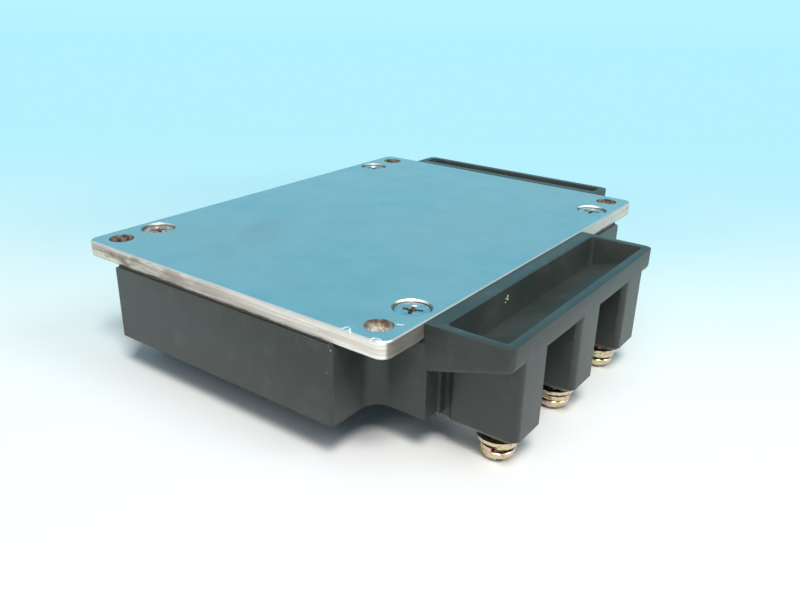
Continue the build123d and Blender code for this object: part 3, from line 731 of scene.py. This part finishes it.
# Thread ridge wound round a core, with its foot sunk in it; it runs out to nothing at both ends
def threadRidge(shape, look, low, high):
    pitch, steps = look["pitch"], look["threadSteps"]
    halfFoot, halfCrest = 0.36 * pitch, 0.08 * pitch
    foot, runOut = look["core"] - 0.08, look["core"] - 0.06
    total = int((high - low) / pitch * steps)
    rings = []
    for k in range(total + 1):
        angle = 2 * math.pi * k / steps
        fade = min(1.0, k / steps, (total - k) / steps)
        height = low + pitch * k / steps
        top = runOut + (look["crest"] - runOut) * fade
        section = [(foot, -halfFoot), (top, -halfCrest), (top, halfCrest), (foot, halfFoot)]
        rings.append([shape.verts.new((r * mm * math.cos(angle), r * mm * math.sin(angle),
                                       (height + z) * mm)) for r, z in section])
    for first, second in zip(rings, rings[1:]):
        for k in range(4):
            shape.faces.new((first[k], first[(k + 1) % 4], second[(k + 1) % 4], second[k]))
    shape.faces.new(rings[0])
    shape.faces.new(rings[-1][::-1])


# Tapered cutter for one arm of a recess: wide at the head's face, narrower at its floor
def recessArm(shape, halfLong, halfWide, face, floor, taper, turn):
    turned = Matrix.Rotation(math.radians(turn), 3, "Z")
    rows = []
    for height, half in ((face, halfLong), (floor, halfLong * taper)):
        corners = [(half, halfWide), (-half, halfWide), (-half, -halfWide), (half, -halfWide)]
        rows.append([shape.verts.new(turned @ Vector((a * mm, b * mm, height * mm))) for a, b in corners])
    lower, upper = rows
    for k in range(4):
        shape.faces.new((lower[k], lower[(k + 1) % 4], upper[(k + 1) % 4], upper[k]))
    shape.faces.new(lower)
    shape.faces.new(upper)


crossTurns = (0.7, 90.7)  # degrees; off the axes, so that no wall falls together with the slot's
cutterSkin = 0.01  # how far a cutter stands out of the face that it cuts, mm


def crossCutters(look, face, floor):
    return [meshOf("crossCutter", lambda shape, turn=turn: recessArm(
        shape, look["crossHalf"], look["crossWidth"], face, floor, look["crossTaper"], turn))
        for turn in crossTurns]


def cutMesh(name, body, cutters):
    maker = showMesh(name + "Body", body)
    tools = []
    for k, cutter in enumerate(cutters):
        tool = showMesh(f"{name}Cutter{k}", cutter)
        cut = maker.modifiers.new("cut", "BOOLEAN")
        cut.operation = "DIFFERENCE"
        cut.solver = "EXACT"
        cut.object = tool
        tools.append(tool)
    mesh = settle(maker, name)
    for tool in tools:
        bpy.data.objects.remove(tool)
    return mesh


# Terminal screws: thread, rounded head, a slot right across and a cross in its middle; sizes in mm
terminalScrewLook = {
    "length": 12.0, "headHeight": 2.3, "headRadius": 3.5, "core": 1.60, "crest": 1.97, "pitch": 0.7,
    "slotHalf": 0.55, "slotDepth": 1.1, "slotPast": 0.5,
    "crossHalf": 2.05, "crossWidth": 0.45, "crossDepth": 1.6, "crossTaper": 0.45,
    "profile": [  # of the head: inset from its radius, height above its face
        (0.15, 2.3), (0.0, 2.15), (0.0, 1.55), (0.12, 1.1), (0.42, 0.65), (0.9, 0.28), (1.5, 0.05),
        (2.1, 0.0),
    ],
    "tipChamfer": (0.45, 0.5), "neck": 0.35, "threadStart": 0.3, "threadEnd": 0.35,
    "steps": 48, "threadSteps": 28, "smoothAngle": 32, "turns": [35, 85, 135, 185, 235],
}


def terminalScrewPattern(look):
    under = look["headHeight"]
    tip = under + look["length"]
    head = look["headRadius"]
    core = look["core"]
    neck, past = look["neck"], look["slotPast"]
    inset, chamfer = look["tipChamfer"]
    outline = [(0, tip), (core - inset, tip), (core, tip - chamfer), (core, under + neck),
               (core + neck, under)]
    outline += [(head - inwards, height) for inwards, height in look["profile"]] + [(0, 0)]
    body = meshOf("screwBody", lambda shape: turnedBody(shape, outline, look["steps"]))
    slot = meshOf("slotCutter", lambda shape: recessArm(
        shape, head + past, look["slotHalf"], -past, look["slotDepth"], 1.0, 0))
    cross = crossCutters(look, -cutterSkin, look["crossDepth"])
    cut = cutMesh("terminalScrewHead", body, [slot] + cross)

    def thread(shape):
        shape.from_mesh(cut)
        threadRidge(shape, look, under + look["threadStart"], tip - look["threadEnd"])

    return showMesh("terminalScrewPattern", meshOf("terminalScrewPattern", thread))


terminalPoints = [Vector((axis.x, axis.y, restHeight)) for axis in terminalAxes]
terminalScrews = setRow("threaded_screws", terminalScrewPattern(terminalScrewLook), terminalPoints,
                        terminalScrewLook, "yellowZinc")
finishPiece(terminalScrews, "yellow_zinc", "terminal_screws")
print("terminal screws set:", len(terminalPoints))

# Countersunk screws in the plate; sizes in mm
caseScrewLook = {
    "length": 12.0, "shank": 1.98, "tipChamfer": (0.5, 0.6),
    "rim": [(0.06, -0.06), (0.14, 0.0), (0.7, 0.0)],  # inset from the head's radius, height
    "crossHalf": 2.15, "crossWidth": 0.42, "crossDepth": 1.7, "crossTaper": 0.4,
    "hollowRadius": 1.05, "hollowFloor": 0.55, "hollowTip": 0.3, "hollowSteps": 24,
    "steps": 48, "smoothAngle": 32, "turns": [20, 62, 8, 40],
}


def caseScrewPattern(look):
    head, shank = caseScrewHead, look["shank"]
    end, floor = -look["length"], -look["crossDepth"]
    inset, chamfer = look["tipChamfer"]
    outline = [(0, end), (shank - inset, end), (shank, end + chamfer), (shank, shank - head)]
    outline += [(head - inwards, height) for inwards, height in look["rim"]] + [(0, 0)]
    hollow = [(0, 2 * cutterSkin), (look["hollowRadius"], 2 * cutterSkin),
              (look["hollowFloor"], floor), (0, floor - look["hollowTip"])]
    body = meshOf("caseScrewBody", lambda shape: turnedBody(shape, outline, look["steps"]))
    cutters = crossCutters(look, cutterSkin, floor)
    cutters.append(meshOf("hollowCutter", lambda shape: turnedBody(shape, hollow, look["hollowSteps"])))
    return showMesh("caseScrewPattern", cutMesh("caseScrewHead", body, cutters))


caseScrewPoints = [Vector((sx * caseScrewX, sy * caseScrewY, -caseScrewSink * mm))
                   for sx in (-1, 1) for sy in (-1, 1)]
caseScrews = setRow("countersunk_screws", caseScrewPattern(caseScrewLook), caseScrewPoints,
                    caseScrewLook, "zincSteel")
finishPiece(caseScrews, "screw_steel", "case_screws")
print("case screws set:", len(caseScrewPoints))

# Adhesive squeezed out along the joint of plate and case; sizes and places in mm
beadLook = {
    "radius": 0.25, "change": 0.50, "lumpSize": 3.6, "wander": 0.16, "step": 0.45, "corners": 8,
    "stand": 0.24, "lift": 0.16,  # of the bead's line, out from the plate's sides and up from its underside
    "sideSpan": (-30.5, 30.7), "backSpan": (-45.3, 45.3), "frontSpan": (23.4, 45.3),
    "corner": -30.9,  # where the side's bead bends down the case
    "drop": [(0.5, 1.0, 1.2), (0.15, 0.75, 0.65), (0.1, 0.2, 0.15)],  # from there inwards, on and down
}


def beadTree(look):
    tree, start, identifiers = startTree("adhesiveBead", {
        "Radius": "Float", "Change": "Float", "Lump Size": "Float", "Wander": "Float", "Step": "Float",
        "Material": "Material",
    })
    given = start.outputs
    path = addNode(tree, "GeometryNodeMeshToCurve", {0: given["Geometry"]}).outputs[0]
    path = addNode(tree, "GeometryNodeResampleCurve", {0: path, "Length": given["Step"]}, mode="LENGTH")
    where = addNode(tree, "GeometryNodeInputPosition").outputs[0]
    scale = calc(tree, "DIVIDE", 1.0, given["Lump Size"])
    lumps = addNode(tree, "ShaderNodeTexNoise", {"Vector": where, "Scale": scale, "Detail": 3.0}).outputs
    shift = sway(tree, lumps["Color"], given["Wander"])
    moved = addNode(tree, "GeometryNodeSetPosition", {0: path.outputs[0], "Offset": shift})
    low, high = noiseSpan
    swell = addNode(tree, "ShaderNodeMapRange", {
        "Value": lumps["Fac"], "From Min": low, "From Max": high, "To Min": -1.0, "To Max": 1.0,
    })
    swell = calc(tree, "ADD", calc(tree, "MULTIPLY", swell.outputs[0], given["Change"]), 1.0)
    ring = addNode(tree, "GeometryNodeCurvePrimitiveCircle", {"Resolution": look["corners"], "Radius": 1.0})
    tube = addNode(tree, "GeometryNodeCurveToMesh", {
        "Curve": moved.outputs[0], "Profile Curve": ring.outputs[0],
        "Scale": calc(tree, "MULTIPLY", swell, given["Radius"]), "Fill Caps": True,
    })
    endTree(tree, tube.outputs[0], given["Material"])
    return tree, identifiers


def beadPaths(look):
    z = plateLow.z / mm + look["lift"]
    sideX = -plateHigh.x / mm - look["stand"]
    backY = plateHigh.y / mm + look["stand"]
    drop = [(sideX + inwards, look["corner"] - on, z - down) for inwards, on, down in look["drop"]]
    side = drop + [(sideX, y, z) for y in look["sideSpan"]]
    back = [(x, backY, z) for x in look["backSpan"]]
    front = [(x, -backY, z) for x in look["frontSpan"]]
    points = []
    edges = []
    for path in (side, back, front):
        edges += [(len(points) + k, len(points) + k + 1) for k in range(len(path) - 1)]
        points += [(x * mm, y * mm, height * mm) for x, y, height in path]
    mesh = bpy.data.meshes.new("beadPaths")
    mesh.from_pydata(points, edges, [])
    return mesh


beadNodes, beadInputs = beadTree(beadLook)
beadMesh = growMesh("adhesive_bead", beadPaths(beadLook), beadNodes, beadInputs, {
    "Radius": beadLook["radius"] * mm, "Change": beadLook["change"], "Lump Size": beadLook["lumpSize"] * mm,
    "Wander": beadLook["wander"] * mm, "Step": beadLook["step"] * mm, "Material": materials["adhesive"],
})
beadMesh.shade_smooth()
adhesiveBead = showMesh("adhesive_bead", beadMesh)
finishPiece(adhesiveBead, "adhesive", "seal_bead")
print("adhesive bead laid")

# Crumbs of flash and adhesive: on the tray's inner wall and at the case's corner
crumbLook = {
    "crumbs": [  # place and radius in millimetres
        ((-21.55, -46.72, -2.75), 0.42), ((-21.25, -46.70, -2.15), 0.24), ((-22.0, -46.68, -3.35), 0.18),
        ((-58.72, -31.5, -4.45), 0.22),
    ],
    "squash": (1.1, 0.6, 0.9), "lumpDepth": 0.55, "lumpScale": 1.3, "noiseStep": 7.3, "rounds": 3,
}


def drawCrumbs(shape, look):
    squash = Matrix.Diagonal(look["squash"])
    for k, (place, size) in enumerate(look["crumbs"]):
        made = bmesh.ops.create_icosphere(shape, subdivisions=look["rounds"], radius=size * mm)
        offset = Vector((k * look["noiseStep"], 0, 0))
        for vertex in made["verts"]:
            lump = 1 + look["lumpDepth"] * noise.noise(vertex.co / (size * mm) * look["lumpScale"] + offset)
            vertex.co = squash @ vertex.co * lump + Vector(place) * mm


crumbMesh = meshOf("flash_crumbs", lambda shape: drawCrumbs(shape, crumbLook))
crumbMesh.materials.append(materials["crumb"])
crumbMesh.shade_smooth()
finishPiece(showMesh("flash_crumbs", crumbMesh), "adhesive")
print("crumbs placed:", len(crumbLook["crumbs"]))

# Camera at the photograph's place
cameraLook = {
    "place": (-0.15083, -0.11222, 0.05812),
    "right": (0.58917, -0.80767, 0.02334),
    "up": (0.306726, 0.250279, 0.918303),
    "ahead": (0.7475302, 0.5338755, -0.3951906),
    "lens": 34.34, "film": 36.0, "nearest": 0.005,
}
camera = bpy.data.cameras.new("photoCamera")
camera.lens = cameraLook["lens"]
camera.sensor_width = cameraLook["film"]
camera.clip_start = cameraLook["nearest"]
cameraObject = bpy.data.objects.new("photoCamera", camera)
right, up, ahead = (Vector(cameraLook[key]) for key in ("right", "up", "ahead"))
turned = Matrix((right, up, -ahead)).transposed().to_4x4()
cameraObject.matrix_world = Matrix.Translation(cameraLook["place"]) @ turned
scene.collection.objects.link(cameraObject)
scene.camera = cameraObject
scene.view_settings.view_transform = "Standard"

# Studio: one sheet as floor and backdrop, white in front and pale blue behind
studioLook = {
    "front": -2.4, "near": 0.5, "wall": 1.5, "bend": 0.7, "bendSteps": 12, "height": 2.6, "halfWidth": 3.2,
    "lampShare": 0.94,  # of the sheet's colour that the lamps light
    "shadowEnd": (0.095, 0.20),  # distance from the object over which the sheet's own glow takes over
    "stops": [  # place along the view in metres, colour
        (-0.080, (0.995, 0.975, 0.985)), (-0.046, (0.99, 0.995, 1.0)), (-0.020, (0.95, 1.0, 1.0)),
        (0.007, (0.87, 1.0, 1.0)), (0.040, (0.76, 0.98, 1.0)), (0.080, (0.61, 0.93, 1.0)),
        (0.135, (0.51, 0.89, 0.997)), (0.25, (0.455, 0.885, 0.995)), (0.9, (0.45, 0.885, 1.0)),
        (1.6, (0.475, 0.905, 0.995)),
    ],
    "high": (0.145, 0.635, 0.85), "highSpan": (0.05, 0.9),  # colour far up, and where it comes in
}
viewAlong = Vector((ahead.x, ahead.y, 0)).normalized()
viewAcross = Vector((viewAlong.y, -viewAlong.x, 0))


# 1 for rays from the camera and for those that metal or glass sends on
def seenRays(tree):
    rays = addNode(tree, "ShaderNodeLightPath").outputs
    return calc(tree, "MAXIMUM", *(rays[f"Is {kind} Ray"] for kind in ("Camera", "Glossy", "Transmission")))


def studioMaterial(look):
    material = bpy.data.materials.new("studioSheet")
    material.use_nodes = True
    tree = material.node_tree
    tree.nodes.clear()
    place = addNode(tree, "ShaderNodeTexCoord").outputs["Object"]
    along = addNode(tree, "ShaderNodeVectorMath", {0: place, 1: tuple(viewAlong)}, operation="DOT_PRODUCT")
    first, last = look["stops"][0][0], look["stops"][-1][0]
    inputs = {"Value": along.outputs["Value"], "From Min": first, "From Max": last}
    share = addNode(tree, "ShaderNodeMapRange", inputs).outputs[0]
    ramp = addNode(tree, "ShaderNodeValToRGB", {0: share})
    elements = ramp.color_ramp.elements
    while len(elements) < len(look["stops"]):
        elements.new(1.0)
    for element, (at, colour) in zip(elements, look["stops"]):
        element.position = (at - first) / (last - first)
        element.color = (*colour, 1)
    height = split(tree, place)[2]
    colour = blendColours(tree, band(tree, height, *look["highSpan"]), ramp.outputs[0], look["high"])
    lit = blendColours(tree, 1.0, colour, (look["lampShare"],) * 3, "MULTIPLY")
    matt = addNode(tree, "ShaderNodeBsdfDiffuse", {"Color": lit})
    bright = addNode(tree, "ShaderNodeEmission", {"Color": colour})
    away = addNode(tree, "ShaderNodeVectorMath", {0: place}, operation="LENGTH").outputs["Value"]
    glow = calc(tree, "MULTIPLY", band(tree, away, *look["shadowEnd"]), seenRays(tree))
    whole = addNode(tree, "ShaderNodeMixShader", {0: glow, 1: matt.outputs[0], 2: bright.outputs[0]})
    output = addNode(tree, "ShaderNodeOutputMaterial")
    tree.links.new(whole.outputs[0], output.inputs["Surface"])
    return material


def studioSheet(look):
    wall, bend = look["wall"], look["bend"]
    outline = [(along, restHeight) for along in (look["front"], -look["near"], look["near"])]
    for k in range(look["bendSteps"] + 1):
        angle = math.pi / 2 * k / look["bendSteps"]
        outline.append((wall + bend * math.sin(angle), restHeight + bend * (1 - math.cos(angle))))
    outline.append((wall + bend, look["height"]))
    points = []
    for along, height in outline:
        for side in (-1, 1):
            point = viewAlong * along + viewAcross * side * look["halfWidth"]
            points.append((point.x, point.y, height))
    faces = [(2 * k, 2 * k + 1, 2 * k + 3, 2 * k + 2) for k in range(len(outline) - 1)]
    mesh = bpy.data.meshes.new("studio_sheet")
    mesh.from_pydata(points, [], faces)
    mesh.materials.append(studioMaterial(look))
    mesh.shade_smooth()
    return showMesh("studio_sheet", mesh)


studioSheet(studioLook)

lampLook = {  # place in metres, side of the square in metres, power in watts, colour
    "overhead": ((0.02, 0.0, 1.1), 0.7, 1.6, (0.72, 0.89, 1.0)),
    "keyBox": ((-0.40, -0.42, 0.95), 0.34, 9.6, (1.0, 0.97, 0.90)),
    "rightBox": ((0.28, -0.92, 0.88), 0.5, 3.4, (0.90, 0.975, 1.0)),
    "leftBox": ((-0.92, -0.10, 0.85), 0.5, 1.8, (1.0, 0.98, 0.94)),
}
for name, (place, size, power, colour) in lampLook.items():
    lamp = bpy.data.lights.new(name, "AREA")
    lamp.size = size
    lamp.energy = power
    lamp.color = colour
    holder = bpy.data.objects.new(name, lamp)
    holder.location = place
    holder.rotation_euler = (-Vector(place)).to_track_quat("-Z", "Y").to_euler()
    scene.collection.objects.link(holder)

# Air: pale where it is seen, a dim blue light on everything else
airLook = {"ambient": (0.46, 0.76, 1.0), "seen": (0.93, 0.975, 1.0), "strength": 0.23}
world = bpy.data.worlds.new("studioAir")
scene.world = world
world.use_nodes = True
air = world.node_tree
background = air.nodes["Background"]
seenAir = seenRays(air)
airColour = blendColours(air, seenAir, airLook["ambient"], airLook["seen"])
air.links.new(airColour, background.inputs["Color"])
air.links.new(calc(air, "MAXIMUM", seenAir, airLook["strength"]), background.inputs["Strength"])
print("studio, lamps and camera set")

bpy.context.view_layer.update()
